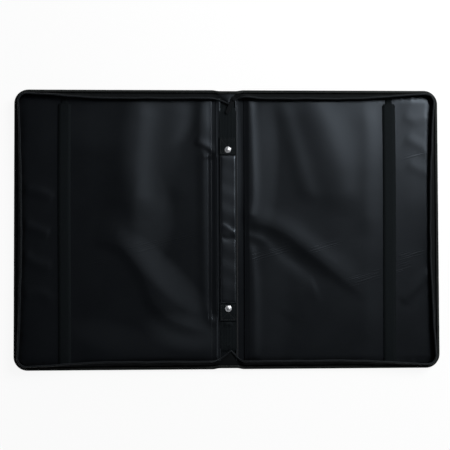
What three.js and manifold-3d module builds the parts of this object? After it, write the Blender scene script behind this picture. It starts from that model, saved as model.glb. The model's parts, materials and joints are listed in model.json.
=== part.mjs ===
import * as THREE from 'three';
import { mergeVertices } from 'three/addons/utils/BufferGeometryUtils.js';
import Module from 'manifold-3d';

const wasm = await Module();
wasm.setup();

// Zip-round art portfolio, lying open on its outside.
// Millimetres: +X to the right cover, +Y to the top edge, +Z up from the surface it lies on.

// Whole case
const openWidth = 700;
const openHeight = 460;
const cornerRadius = 23;
const seatGap = 0.3;

// Hinge lines, each between the spine and a cover
const hingeX = 18;
const hingeSlit = 0.3;
const flapGap = 0.2;
const liningStart = 1.5;
const closedZipGap = 0.8;

// Cover: woven outer panel, stiffening board, coated lining
const panelThickness = 1.0;
const boardThickness = 2.5;
const boardInset = 8;
const channelWidth = 10;
const liningThickness = 1.0;
const flangeThickness = 0.7;
const flangeRise = 2.7;
const liningWallGap = 0.5;

// Edge binding and the leaning wall of zip tape inside it
const bindingWidth = 5;
const bindingHeight = 5.6;
const bindingChamfer = 1.0;
const tapeThickness = 1.2;
const tapeLean = 4.2;
const coilRadius = 1.6;
const coilSides = 8;
const cornerSteps = 7;

// Retaining straps
const strapX = 267.5;
const strapWidth = 21;
const strapThickness = 1.2;
const strapNeckWidth = 11;
const strapNeckLength = 14;
const strapChamfer = 2.5;

// Spine stack, from the outside in
const capThickness = 0.8;
const handleThickness = 2.0;
const spineCrownHalfWidth = 14;
const spineInset = 2;
const spineBindingHalfWidth = 13;
const spineBoardHalfWidth = 12.5;
const spineBoardThickness = 1.5;
const webbingWidth = 28;
const webbingThickness = 1.2;
const patchLength = 29;
const patchThickness = 1.2;
const patchShift = 6;
const padWidth = 25.4;
const padHeight = 3.2;
const padBevel = 1.0;

// Rivets that hold the carrying handle
const rivetY = 130.5;
const rivetHeadRadius = 5.25;
const rivetDomeHeight = 2.8;
const rivetShankRadius = 1.6;
const capRadius = 5.0;
const holeSides = 16;

// Carrying handle
const handleWidth = 25;
const handleTail = 18;
const gripHalfLength = 60;
const gripTaper = 14;
const gripWidth = 20;

// Zip ends on the spine, the slider and its puller
const vFootX = 14.5;
const vFootInset = 12;
const vDepth = 15;
const vRadius = 1.5;
const endTapeThickness = 1.0;
const sliderX = 9.6;
const sliderInset = 14.4;
const sliderLength = 9;
const sliderWidth = 8;
const sliderHeight = 3.0;
const bailWidth = 1.8;
const bailThickness = 1.0;
const bailRear = -3.0;
const bailFront = 2.3;
const pullerHeading = new THREE.Vector2(-0.447, -0.894).normalize();
const pullerLength = 26;
const pullerWidth = 6;
const pullerThickness = 1.0;
const pullerBar = 1.0;
const pullerHoleLength = 3.4;
const pullerHoleWidth = 3.2;
const pullerClearance = 0.4;

// Soft forms of the lining: [start x, start y, end x, end y, height, half width] in each page's own
// frame, x counted outwards from the middle of the spine, positive up from the flat lining
const pageCrown = 1.3;
const foldLimit = 4.4;
const foldFade = 16;
const foldEndFade = 34;
const strapFlatMargin = 3;
const liningColumns = 22;
const liningRows = 26;
const liningCornerSteps = 5;
const leftFolds = [
  [36, 118, 34, -116, 5.2, 4],
  [34, -116, 22, -155, 2.5, 5],
  [26, 205, 24, 160, 4.0, 7],
  [104, 205, 96, 60, 2.2, 20],
  [200, -15, 130, -40, 2.6, 9],
  [130, -40, 100, -98, 2.8, 12],
  [100, -98, 30, -137, 2.6, 9],
  [170, 100, 150, 20, -1.4, 26],
  [200, -90, 130, -150, -1.3, 26],
];
const rightFolds = [
  [42, 205, 44, 40, 3.2, 7],
  [42, -35, 52, -180, 3.4, 8],
  [14, 4, 42, -8, 3.0, 6],
  [42, -8, 82, -36, 3.2, 8],
  [38, 26, 170, -64, 4.0, 13],
  [32, 10, 180, -112, -2.2, 12],
  [105, 200, 215, 18, 2.2, 18],
  [330, -20, 290, -110, 1.6, 8],
];

// Sizes that follow
const halfWidth = openWidth / 2;
const halfHeight = openHeight / 2;
const hingeZ = panelThickness;
const boardBase = panelThickness + seatGap;
const liningBase = boardBase + boardThickness + seatGap;
const liningTop = liningBase + liningThickness;
const coilTop = hingeZ + hingeX - closedZipGap / 2;
const coilZ = coilTop - coilRadius;
const tapeTop = coilZ - coilRadius - seatGap;
const tapeFoot = bindingWidth + seatGap;
const tapeBase = panelThickness + seatGap;
const tapeSlope = tapeLean / (tapeTop - tapeBase);
const liningInset = tapeFoot + tapeThickness + tapeSlope * (liningTop - tapeBase) + liningWallGap;
const strapBase = liningTop + seatGap;
const strapEnd = tapeFoot + tapeThickness + tapeSlope * (strapBase + strapThickness - tapeBase) + seatGap;

const spineHalfLength = halfHeight - spineInset;
const patchCentreY = rivetY + patchShift;
const vFootY = spineHalfLength - vFootInset;
const vApexY = vFootY - vDepth;
const sliderY = spineHalfLength - sliderInset;
const handleBase = seatGap + capThickness + seatGap;
const spineLift = handleBase + handleThickness + seatGap;
const spineTop = spineLift + panelThickness;
const spineBoardBase = spineTop + seatGap;
const webbingBase = spineBoardBase + spineBoardThickness + seatGap;
const patchBase = webbingBase + webbingThickness + seatGap;
const rivetBase = patchBase + patchThickness + seatGap;
const vBase = spineTop + seatGap + endTapeThickness + seatGap;
const vTop = vBase + 2 * vRadius;
const sliderTop = vBase + sliderHeight;
const pivotZ = sliderTop + pullerClearance + pullerThickness / 2;
const zipStart = hingeX + Math.max(vTop, sliderTop) - hingeZ + 2 * seatGap;
const spineEndY = vApexY - vRadius;
const rivetHole = rivetShankRadius + seatGap;

const finishes = {
  nylon: { color: 0x17181a, roughness: 0.82, metalness: 0 },
  board: { color: 0x4a443b, roughness: 0.9, metalness: 0 },
  lining: { color: 0x24272b, roughness: 0.42, metalness: 0 },
  webbing: { color: 0x0f1213, roughness: 0.88, metalness: 0 },
  binding: { color: 0x1d1f1f, roughness: 0.75, metalness: 0 },
  coil: { color: 0x33363a, roughness: 0.45, metalness: 0 },
  nickel: { color: 0xd9dadc, roughness: 0.2, metalness: 1 },
  blackMetal: { color: 0x121315, roughness: 0.35, metalness: 0.8 },
};

const portfolio = new THREE.Group();

function add(name, geometry, finish) {
  const mesh = new THREE.Mesh(geometry, new THREE.MeshStandardMaterial(finishes[finish]));
  mesh.name = name;
  portfolio.add(mesh);
}

function smooth(value) {
  const t = Math.min(Math.max(value, 0), 1);
  return t * t * (3 - 2 * t);
}

// The sides of a surface whose ring i joins ring i + 1, left open at both ends
function loft(rings) {
  const count = rings[0].length;
  const positions = rings.flat(2);
  const index = [];
  for (let i = 0; i + 1 < rings.length; i += 1) {
    for (let j = 0; j < count; j += 1) {
      const a = i * count + j;
      const b = i * count + ((j + 1) % count);
      index.push(a, b, a + count, b, b + count, a + count);
    }
  }
  return { positions, index, count };
}

function meshFrom(positions, index) {
  const geometry = new THREE.BufferGeometry();
  geometry.setAttribute('position', new THREE.Float32BufferAttribute(positions, 3));
  geometry.setIndex(index);
  geometry.computeVertexNormals();
  return geometry;
}

// Mirror a right-hand piece into the left cover, with its faces turned to stay outward
function onSide(geometry, side) {
  if (side > 0) return geometry;
  const mirrored = geometry.index ? geometry.toNonIndexed() : geometry;
  mirrored.scale(-1, 1, 1);
  const position = mirrored.attributes.position;
  for (let i = 0; i < position.count; i += 3) {
    const second = new THREE.Vector3().fromBufferAttribute(position, i + 1);
    const third = new THREE.Vector3().fromBufferAttribute(position, i + 2);
    position.setXYZ(i + 1, third.x, third.y, third.z);
    position.setXYZ(i + 2, second.x, second.y, second.z);
  }
  return mirrored;
}

function plate(shape, base, thickness, bevel = 0) {
  const geometry = new THREE.ExtrudeGeometry(shape, {
    depth: thickness - 2 * bevel,
    bevelEnabled: bevel > 0,
    bevelThickness: bevel,
    bevelSize: bevel,
    bevelOffset: -bevel,
    bevelSegments: 2,
    curveSegments: 8,
  });
  return geometry.translate(0, 0, base + bevel);
}

function roundHole(shape, x, y, radius) {
  const hole = new THREE.Path();
  for (let i = 0; i < holeSides; i += 1) {
    const angle = (-2 * Math.PI * i) / holeSides;
    const point = [x + radius * Math.cos(angle), y + radius * Math.sin(angle)];
    if (i === 0) hole.moveTo(...point);
    else hole.lineTo(...point);
  }
  hole.closePath();
  shape.holes.push(hole);
}

function rectangle(x0, y0, x1, y1) {
  const shape = new THREE.Shape();
  shape.moveTo(x0, y0);
  shape.lineTo(x1, y0);
  shape.lineTo(x1, y1);
  shape.lineTo(x0, y1);
  shape.closePath();
  return shape;
}

// A cover's outline: straight along the hinge, with the two outer corners rounded
function coverOutline(innerX, inset) {
  const x = halfWidth - inset;
  const y = halfHeight - inset;
  const radius = cornerRadius - inset;
  const shape = new THREE.Shape();
  shape.moveTo(innerX, -y);
  shape.lineTo(x - radius, -y);
  shape.absarc(x - radius, -y + radius, radius, -Math.PI / 2, 0, false);
  shape.lineTo(x, y - radius);
  shape.absarc(x - radius, y - radius, radius, 0, Math.PI / 2, false);
  shape.lineTo(innerX, y);
  shape.closePath();
  return shape;
}

// A section of (inset, height) points carried round the three free sides of a cover
function rim(section, startX) {
  const centreX = halfWidth - cornerRadius;
  const centreY = halfHeight - cornerRadius;
  const stations = [{ x: startX, y: -centreY, angle: -Math.PI / 2 }];
  for (const corner of [-1, 1]) {
    for (let i = 0; i <= cornerSteps; i += 1) {
      const turn = (Math.PI / 2) * (i / cornerSteps);
      const angle = corner < 0 ? turn - Math.PI / 2 : turn;
      stations.push({ x: centreX, y: corner * centreY, angle });
    }
  }
  stations.push({ x: startX, y: centreY, angle: Math.PI / 2 });
  const rings = stations.map(({ x, y, angle }) => section.map(([inset, height]) => [
    x + (cornerRadius - inset) * Math.cos(angle),
    y + (cornerRadius - inset) * Math.sin(angle),
    height,
  ]));
  const { positions, index, count } = loft(rings);
  const flat = section.map(([inset, height]) => new THREE.Vector2(inset, height));
  const last = (rings.length - 1) * count;
  for (const [a, b, c] of THREE.ShapeUtils.triangulateShape(flat, [])) {
    index.push(a, c, b);
    index.push(last + a, last + b, last + c);
  }
  return meshFrom(positions, index);
}

const bindingSection = [
  [0, bindingChamfer],
  [bindingChamfer, 0],
  [bindingWidth, 0],
  [bindingWidth, bindingHeight - bindingChamfer],
  [bindingWidth - bindingChamfer, bindingHeight],
  [bindingChamfer, bindingHeight],
  [0, bindingHeight - bindingChamfer],
];

const tapeSection = [
  [tapeFoot, tapeBase],
  [tapeFoot + tapeThickness, tapeBase],
  [tapeFoot + tapeThickness + tapeLean, tapeTop],
  [tapeFoot + tapeLean, tapeTop],
];

function coilSection() {
  const inset = tapeFoot + tapeLean + tapeThickness / 2;
  return Array.from({ length: coilSides }, (_, i) => {
    const angle = (2 * Math.PI * (i + 0.5)) / coilSides;
    const reach = coilRadius / Math.cos(Math.PI / coilSides);
    return [inset + reach * Math.cos(angle), coilZ + reach * Math.sin(angle)];
  });
}

function foldHeight(x, y, folds) {
  const inner = smooth((x - hingeX - channelWidth) / foldFade);
  const outer = smooth((halfWidth - liningInset - x) / foldFade);
  const ends = smooth((halfHeight - liningInset - Math.abs(y)) / foldEndFade);
  const strap = smooth((Math.abs(x - strapX) - strapWidth / 2 - strapFlatMargin) / foldFade);
  let height = pageCrown;
  for (const [x0, y0, x1, y1, size, spread] of folds) {
    const run = new THREE.Line3(new THREE.Vector3(x0, y0, 0), new THREE.Vector3(x1, y1, 0));
    const point = new THREE.Vector3(x, y, 0);
    const nearest = run.closestPointToPoint(point, true, new THREE.Vector3());
    height += size * Math.exp(-((point.distanceTo(nearest) / spread) ** 2));
  }
  return Math.min(Math.max(height, 0), foldLimit) * inner * outer * ends * strap;
}

// The lining is a closed sheet that lies on the board and steps down to the hinge channel
function lining(folds) {
  const outerX = halfWidth - liningInset;
  const radius = cornerRadius - liningInset;
  const arcX = outerX - radius;
  const riseX = hingeX + channelWidth - flangeRise - seatGap;
  const columns = [hingeX + liningStart, riseX, riseX + flangeRise / 2, riseX + flangeRise];
  for (let i = 1; i <= liningColumns; i += 1) {
    columns.push(riseX + flangeRise + ((arcX - riseX - flangeRise) * i) / liningColumns);
  }
  for (let i = 1; i <= liningCornerSteps; i += 1) {
    columns.push(arcX + radius * Math.sin((Math.PI / 2) * (i / liningCornerSteps)));
  }
  const rows = liningRows;
  const rings = columns.map((x) => {
    const bow = Math.sqrt(Math.max(radius ** 2 - Math.max(x - arcX, 0) ** 2, 0));
    const limit = halfHeight - liningInset - radius + bow;
    const rise = smooth((x - riseX) / flangeRise);
    const base = boardBase + rise * (liningBase - boardBase);
    const thickness = flangeThickness + rise * (liningThickness - flangeThickness);
    const ys = Array.from({ length: rows + 1 }, (_, j) => limit * ((2 * j) / rows - 1));
    const lower = ys.map((y) => [x, y, base]);
    const upper = ys.map((y) => [x, y, base + thickness + foldHeight(x, y, folds)]).reverse();
    return [...lower, ...upper];
  });
  const { positions, index, count } = loft(rings);
  const last = (rings.length - 1) * count;
  for (let j = 0; j < rows; j += 1) {
    const [lowA, lowB, topA, topB] = [j, j + 1, count - 1 - j, count - 2 - j];
    index.push(lowA, topA, lowB, lowB, topA, topB);
    index.push(last + lowA, last + lowB, last + topA, last + lowB, last + topB, last + topA);
  }
  return meshFrom(positions, index);
}

// A strap with its end folded narrow where it passes into the top seam
function strap() {
  const half = strapWidth / 2;
  const neck = strapNeckWidth / 2;
  const end = halfHeight - strapEnd;
  const shoulder = end - strapNeckLength;
  const shape = new THREE.Shape();
  shape.moveTo(strapX - half, -end);
  shape.lineTo(strapX + half, -end);
  shape.lineTo(strapX + half, shoulder - strapChamfer);
  shape.lineTo(strapX + half - strapChamfer, shoulder);
  shape.lineTo(strapX + neck, shoulder);
  shape.lineTo(strapX + neck, end);
  shape.lineTo(strapX - neck, end);
  shape.lineTo(strapX - neck, shoulder);
  shape.lineTo(strapX - half + strapChamfer, shoulder);
  shape.lineTo(strapX - half, shoulder - strapChamfer);
  shape.closePath();
  return plate(shape, strapBase, strapThickness);
}

function buildCover(name, side, folds) {
  const panel = coverOutline(hingeX + hingeSlit, bindingWidth + seatGap);
  const board = coverOutline(hingeX + channelWidth, boardInset);
  add(`${name}_outer_panel`, onSide(plate(panel, 0, panelThickness), side), 'nylon');
  add(`${name}_board`, onSide(plate(board, boardBase, boardThickness), side), 'board');
  add(`${name}_lining`, onSide(lining(folds), side), 'lining');
  add(`${name}_binding`, onSide(rim(bindingSection, hingeX + hingeSlit), side), 'binding');
  add(`${name}_zip_tape`, onSide(rim(tapeSection, zipStart), side), 'binding');
  add(`${name}_zip_coil`, onSide(rim(coilSection(), zipStart), side), 'coil');
  add(`${name}_strap`, onSide(strap(), side), 'webbing');
}

// The spine's outer panel arches over the handle and slopes down to each hinge line
function spinePanel() {
  const edge = hingeX - flapGap;
  const crown = spineCrownHalfWidth;
  const length = 2 * (spineHalfLength - bindingWidth - seatGap);
  const section = [
    [edge, 0], [edge, panelThickness], [crown, spineTop], [-crown, spineTop],
    [-edge, panelThickness], [-edge, 0], [-crown, spineLift], [crown, spineLift],
  ];
  const shape = new THREE.Shape(section.map(([x, z]) => new THREE.Vector2(x, z)));
  const sheet = new THREE.ExtrudeGeometry(shape, { depth: length, bevelEnabled: false });
  sheet.rotateX(Math.PI / 2);
  let solid = toSolid(sheet.translate(0, length / 2, 0));
  for (const end of [1, -1]) {
    const punch = new THREE.CylinderGeometry(rivetHole, rivetHole, 4 * spineTop, holeSides);
    punch.rotateX(Math.PI / 2);
    solid = solid.subtract(toSolid(punch.translate(0, end * rivetY, spineTop)));
  }
  return toGeometry(solid);
}

function buildSpine() {
  const board = rectangle(-spineBoardHalfWidth, -spineEndY + seatGap,
    spineBoardHalfWidth, spineEndY - seatGap);
  const webbing = rectangle(-webbingWidth / 2, -spineEndY + seatGap,
    webbingWidth / 2, spineEndY - seatGap);
  for (const shape of [board, webbing]) {
    for (const end of [1, -1]) roundHole(shape, 0, end * rivetY, rivetHole);
  }
  add('spine_outer_panel', spinePanel(), 'nylon');
  add('spine_board', plate(board, spineBoardBase, spineBoardThickness), 'board');
  add('spine_webbing', plate(webbing, webbingBase, webbingThickness), 'webbing');
  const padEnd = patchCentreY - patchLength / 2 - seatGap;
  const pad = rectangle(-padWidth / 2, -padEnd, padWidth / 2, padEnd);
  add('spine_pad', plate(pad, patchBase, padHeight, padBevel), 'lining');
}

// Box-stitched patch, domed rivet and outer cap at one end of the handle
function buildHandleAnchor(name, end) {
  const near = patchCentreY - patchLength / 2;
  const far = patchCentreY + patchLength / 2;
  const patch = rectangle(-webbingWidth / 2, Math.min(end * near, end * far),
    webbingWidth / 2, Math.max(end * near, end * far));
  roundHole(patch, 0, end * rivetY, rivetHole);
  add(`handle_patch_${name}`, plate(patch, patchBase, patchThickness), 'webbing');

  const domeSteps = 6;
  const profile = [
    new THREE.Vector2(0, seatGap),
    new THREE.Vector2(rivetShankRadius, seatGap),
    new THREE.Vector2(rivetShankRadius, rivetBase),
  ];
  for (let i = 0; i <= domeSteps; i += 1) {
    const angle = (Math.PI / 2) * (i / domeSteps);
    const radius = i === domeSteps ? 0 : rivetHeadRadius * Math.cos(angle);
    profile.push(new THREE.Vector2(radius, rivetBase + rivetDomeHeight * Math.sin(angle)));
  }
  const rivet = new THREE.LatheGeometry(profile, 20);
  rivet.rotateX(Math.PI / 2);
  add(`rivet_${name}`, rivet.translate(0, end * rivetY, 0), 'nickel');

  const cap = new THREE.Shape();
  cap.absarc(0, end * rivetY, capRadius, 0, 2 * Math.PI, false);
  roundHole(cap, 0, end * rivetY, rivetHole);
  add(`rivet_cap_${name}`, plate(cap, seatGap, capThickness), 'nickel');
}

// Webbing handle on the outside of the spine, folded narrower for the hand
function buildHandle() {
  const end = rivetY + handleTail;
  const wide = handleWidth / 2;
  const narrow = gripWidth / 2;
  const shape = new THREE.Shape();
  const outline = [
    [wide, -end], [wide, -gripHalfLength - gripTaper], [narrow, -gripHalfLength],
    [narrow, gripHalfLength], [wide, gripHalfLength + gripTaper], [wide, end],
  ];
  const back = outline.map(([x, y]) => [-x, y]).reverse();
  shape.setFromPoints([...outline, ...back].map(([x, y]) => new THREE.Vector2(x, y)));
  for (const side of [1, -1]) roundHole(shape, 0, side * rivetY, rivetHole);
  add('carry_handle', plate(shape, handleBase, handleThickness), 'webbing');
}

// The binding across one end of the spine, drawn at the bottom end and turned for the top one
function buildSpineBinding(name, end) {
  const section = bindingSection.map(([inset, height]) => new THREE.Vector2(inset, height));
  const binding = new THREE.ExtrudeGeometry(new THREE.Shape(section), {
    depth: 2 * spineBindingHalfWidth,
    bevelEnabled: false,
  });
  binding.rotateX(Math.PI / 2);
  binding.rotateZ(Math.PI / 2);
  binding.translate(-spineBindingHalfWidth, -spineHalfLength, spineLift);
  if (end > 0) binding.rotateZ(Math.PI);
  add(`spine_binding_${name}`, binding, 'binding');
}

function buildZipEndTape(name, end) {
  const near = spineEndY;
  const far = spineHalfLength - bindingWidth - seatGap;
  const tape = rectangle(-webbingWidth / 2, Math.min(end * near, end * far),
    webbingWidth / 2, Math.max(end * near, end * far));
  add(`zip_end_tape_${name}`, plate(tape, spineTop + seatGap, endTapeThickness), 'binding');
}

// The two coils end on the spine in a V, and the slider takes the place of one leg's end
function buildZipEndCoil(name, end, cutter) {
  const z = vBase + vRadius;
  const halfway = (vApexY + vFootY) / 2;
  const legs = [[-1, vFootY], [-0.5, halfway], [0, vApexY], [0.5, halfway], [1, vFootY]];
  const path = new THREE.CatmullRomCurve3(
    legs.map(([share, y]) => new THREE.Vector3(share * vFootX, end * y, z)),
  );
  const circle = new THREE.Shape();
  circle.absarc(0, 0, vRadius, 0, 2 * Math.PI, false);
  const coil = new THREE.ExtrudeGeometry(circle, {
    steps: 18,
    curveSegments: 4,
    extrudePath: path,
    bevelEnabled: false,
  });
  const solid = cutter ? toGeometry(toSolid(coil).subtract(toSolid(cutter))) : coil;
  add(`zip_end_coil_${name}`, solid, 'coil');
}

function toSolid(geometry) {
  const bare = geometry.clone();
  bare.deleteAttribute('normal');
  bare.deleteAttribute('uv');
  const merged = mergeVertices(bare, 1e-4);
  return new wasm.Manifold(new wasm.Mesh({
    numProp: 3,
    vertProperties: new Float32Array(merged.attributes.position.array),
    triVerts: new Uint32Array(merged.index.array),
  }));
}

function toGeometry(solid) {
  const mesh = solid.getMesh();
  return meshFrom(Array.from(mesh.vertProperties), Array.from(mesh.triVerts));
}

function box(along0, along1, halfAcross, z0, z1) {
  return plate(rectangle(along0, -halfAcross, along1, halfAcross), z0, z1 - z0);
}

// Turn a piece drawn along +X to the puller's heading and set it on the slider
function atSlider(geometry) {
  geometry.rotateZ(Math.atan2(pullerHeading.y, pullerHeading.x));
  return geometry.translate(sliderX, sliderY, 0);
}

function buildSlider() {
  const half = sliderLength / 2;
  const bridge = pivotZ + Math.hypot(pullerBar, pullerThickness) / 2 + seatGap;
  const sunk = sliderTop - bailThickness / 2;
  const body = new THREE.Shape();
  const shoulder = sliderWidth / 2;
  const waist = sliderWidth / 3;
  body.moveTo(-half, -shoulder);
  body.lineTo(0, -shoulder);
  body.lineTo(half, -waist);
  body.lineTo(half, waist);
  body.lineTo(0, shoulder);
  body.lineTo(-half, shoulder);
  body.closePath();
  const pieces = [
    box(bailRear, bailRear + bailThickness, bailWidth / 2, sunk, bridge + bailThickness / 2),
    box(bailFront - bailThickness, bailFront, bailWidth / 2, sunk, bridge + bailThickness / 2),
    box(bailRear, bailFront, bailWidth / 2, bridge, bridge + bailThickness),
  ];
  let solid = toSolid(plate(body, vBase, sliderHeight));
  for (const piece of pieces) solid = solid.add(toSolid(piece));
  add('zip_slider', atSlider(toGeometry(solid)), 'blackMetal');

  const tab = new THREE.Shape();
  const across = pullerWidth / 2;
  const tip = pullerLength;
  tab.moveTo(-pullerBar / 2, -across);
  tab.lineTo(tip - across, -across);
  tab.absarc(tip - across, 0, across, -Math.PI / 2, Math.PI / 2, false);
  tab.lineTo(-pullerBar / 2, across);
  tab.closePath();
  const hole = new THREE.Path();
  const holeStart = pullerBar / 2;
  hole.moveTo(holeStart, -pullerHoleWidth / 2);
  hole.lineTo(holeStart, pullerHoleWidth / 2);
  hole.lineTo(holeStart + pullerHoleLength, pullerHoleWidth / 2);
  hole.lineTo(holeStart + pullerHoleLength, -pullerHoleWidth / 2);
  hole.closePath();
  tab.holes.push(hole);
  const puller = plate(tab, pivotZ - pullerThickness / 2, pullerThickness);
  add('zip_puller', atSlider(puller), 'blackMetal');
}

// The coil ends inside the slider, so all of it from the slider's mouth on is cut away
function sliderRoom() {
  const half = sliderLength / 2 + seatGap;
  return atSlider(box(-half, half, sliderWidth, vBase - 1, sliderTop + 1));
}

buildCover('left', -1, leftFolds);
buildCover('right', 1, rightFolds);
buildSpine();
buildHandle();
for (const [name, end] of [['top', 1], ['bottom', -1]]) {
  buildHandleAnchor(name, end);
  buildSpineBinding(name, end);
  buildZipEndTape(name, end);
  buildZipEndCoil(name, end, end > 0 ? sliderRoom() : null);
}
buildSlider();

export default portfolio;
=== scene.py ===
import json
import math

import bpy
import numpy as np
from mathutils import Matrix, Vector


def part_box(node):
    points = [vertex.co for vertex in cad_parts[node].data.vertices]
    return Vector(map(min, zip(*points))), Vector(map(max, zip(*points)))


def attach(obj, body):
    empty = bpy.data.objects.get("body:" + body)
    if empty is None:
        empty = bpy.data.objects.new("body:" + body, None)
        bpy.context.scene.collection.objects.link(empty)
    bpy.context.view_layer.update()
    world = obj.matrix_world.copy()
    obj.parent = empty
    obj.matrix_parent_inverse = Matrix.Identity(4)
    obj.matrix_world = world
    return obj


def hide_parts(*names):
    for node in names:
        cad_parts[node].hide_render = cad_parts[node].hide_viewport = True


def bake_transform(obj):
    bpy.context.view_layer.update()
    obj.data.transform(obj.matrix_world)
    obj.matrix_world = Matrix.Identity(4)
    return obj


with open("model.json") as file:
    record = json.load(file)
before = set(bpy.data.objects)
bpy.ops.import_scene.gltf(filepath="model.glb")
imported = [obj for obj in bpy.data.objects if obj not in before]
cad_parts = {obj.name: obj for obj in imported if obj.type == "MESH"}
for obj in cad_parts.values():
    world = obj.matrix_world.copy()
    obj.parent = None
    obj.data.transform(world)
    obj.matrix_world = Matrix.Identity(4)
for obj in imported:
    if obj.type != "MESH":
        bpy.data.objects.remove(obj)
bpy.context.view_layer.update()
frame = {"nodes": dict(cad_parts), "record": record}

bl_info = {
    "name": "Zip-round art portfolio",
    "version": (1, 0, 0),
    "blender": (4, 5, 0),
    "location": "View3D > Sidebar > Portfolio",
    "description": "Builds the cloth, zip, straps and fittings of an open art portfolio",
    "category": "Object",
}

MM = 0.001
TURN = 2 * math.pi


def box_mm(node):
    """A node's low and high corners, in millimetres."""
    return np.array([list(corner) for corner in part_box(node)]) / MM


# Sizes read from the frame, in millimetres
HALF_WIDTH, HALF_HEIGHT = box_mm("right_binding")[1][:2]
PANEL_X, _, PANEL_TOP = box_mm("right_outer_panel")[1]
RIM_TOP = box_mm("right_zip_coil")[1][2]
LINING_X, LINING_Y = box_mm("right_lining")[1][:2]
BOARD_TOP = box_mm("right_board")[1][2]
HINGE_X = frame["record"]["behaviour"]["joints"][1]["pos_m"][0] / MM
SPINE_LIFT = box_mm("spine_binding_top")[0][2]
SPINE_END = box_mm("spine_binding_top")[1][1]
WEBBING_HALF, _, WEBBING_TOP = box_mm("spine_webbing")[1]
V_BASE = box_mm("zip_end_coil_bottom")[0][2]

# Sizes that the frame doesn't give, in millimetres
CORNER = 23.0
COIL_RADIUS = 1.6
SHEET_THICKNESS = 0.5
STRAP_X = 267.5
LINING_START = 12.6
BOARD_EDGE = 28.0
RIVET_Y = 130.5
RIVET_CLEARANCE = 5.4
V_HALF_WIDTH = 27.0
V_TOP_APEX, V_TOP_SHIFT = 206.5, 1.5
V_BOTTOM_APEX, V_BOTTOM_SHIFT = 199.0, 4.0


# Plain numpy helpers

def grid(x, y):
    return np.meshgrid(x, y, indexing="ij")


def turned(x, y, degrees):
    """How far x, y lies along and across a direction."""
    c, s = math.cos(math.radians(degrees)), math.sin(math.radians(degrees))
    return x * c + y * s, y * c - x * s


def smooth(value):
    """Rises from 0 to 1 as value does, level at both ends: 3t^2 - 2t^3."""
    t = np.clip(value, 0.0, 1.0)
    return t * t * (3.0 - 2.0 * t)


def unit(vectors):
    return vectors / np.linalg.norm(vectors, axis=-1, keepdims=True)


def curve_through(points, count):
    """A smooth run of points: a Catmull-Rom curve through the given ones, count of them in all."""
    p = np.asarray(points, float)
    p = np.vstack([2 * p[0] - p[1], p, 2 * p[-1] - p[-2]])
    s = np.linspace(0, len(p) - 3 - 1e-9, count)
    i = s.astype(int)
    t = (s - i)[:, None]
    a, b, c, d = p[i], p[i + 1], p[i + 2], p[i + 3]
    square, cube = 2 * a - 5 * b + 4 * c - d, 3 * b - a - 3 * c + d
    return 0.5 * (2 * b + (c - a) * t + square * t**2 + cube * t**3)


def fold(x, y, crest, height, left, right, fade=0.18):
    """A fold whose crest runs smoothly through the given points.

    Its height is a bell over the distance to the crest: left is the bell's width on the crest's left as
    it runs, and right is its width on the other side. It dies away over a share of both ends."""
    path = curve_through(crest, 26)
    nearest = np.full(x.shape, np.inf)
    share = np.zeros(x.shape)
    turn = np.zeros(x.shape)
    for k, (start, step) in enumerate(zip(path[:-1], np.diff(path, axis=0))):
        u, v = x - start[0], y - start[1]
        t = np.clip((u * step[0] + v * step[1]) / (step @ step), 0.0, 1.0)
        away = np.hypot(u - t * step[0], v - t * step[1])
        closer = away < nearest
        nearest = np.where(closer, away, nearest)
        share = np.where(closer, (k + t) / (len(path) - 1.0), share)
        cross = (step[0] * v - step[1] * u) / math.hypot(*step)
        turn = np.where(closer, cross / np.maximum(away, 1e-6), turn)
    width = left + (right - left) * (0.5 - 0.5 * turn)
    ends = smooth(share / fade) * smooth((1.0 - share) / fade)
    return height * np.exp(-((nearest / width) ** 2)) * ends


def mound(x, y, centre, height, wide, tall, turn=0.0):
    """A bell-shaped swell, wide by tall and turned by an angle in degrees."""
    u, v = turned(x - centre[0], y - centre[1], turn)
    return height * np.exp(-((u / wide) ** 2) - (v / tall) ** 2)


def ripple(s, seed, waves=7, shortest=9.0):
    """A soft irregular wave along s, from a fixed series of sines, about 1 high."""
    random = np.random.default_rng(seed)
    total = np.zeros_like(s)
    for k in range(waves):
        total += np.sin(2 * np.pi * s / (shortest * 1.45**k) + random.uniform(0, 2 * np.pi))
    return total / math.sqrt(waves)


# Meshes from grids

def placed(name, data):
    """A new object in the scene."""
    item = bpy.data.objects.new(name, data)
    bpy.context.scene.collection.objects.link(item)
    return item


def new_object(name, points, faces, uvs=None):
    """A mesh object from vertices in millimetres, with its place in the mesh."""
    mesh = bpy.data.meshes.new(name)
    mesh.from_pydata((np.asarray(points, float) * MM).tolist(), [], faces)
    if uvs is not None:
        layer = mesh.uv_layers.new(name="UVMap")
        corner = np.empty(len(mesh.loops), np.int64)
        mesh.loops.foreach_get("vertex_index", corner)
        layer.data.foreach_set("uv", np.asarray(uvs, np.float32)[corner].ravel())
    mesh.polygons.foreach_set("use_smooth", np.ones(len(mesh.polygons), bool))
    mesh.update()
    return placed(name, mesh)


def mirrored(points, side):
    """The points on the side asked for: right-hand ones as they are, left-hand ones with x turned."""
    points = np.array(points, float)
    points[..., 0] *= side
    return points


def tube_faces(rows, columns, flip):
    """Quads of a closed tube, rows along it and columns round it, with a face on each end."""
    i, j = grid(np.arange(rows - 1), np.arange(columns))
    a = i * columns + j
    b = i * columns + (j + 1) % columns
    quads = np.stack([a, b, b + columns, a + columns], -1).reshape(-1, 4)
    caps = [list(range(columns))[::-1], [(rows - 1) * columns + k for k in range(columns)]]
    if flip:
        quads = quads[:, ::-1]
        caps = [cap[::-1] for cap in caps]
    return quads.tolist() + caps


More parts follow.
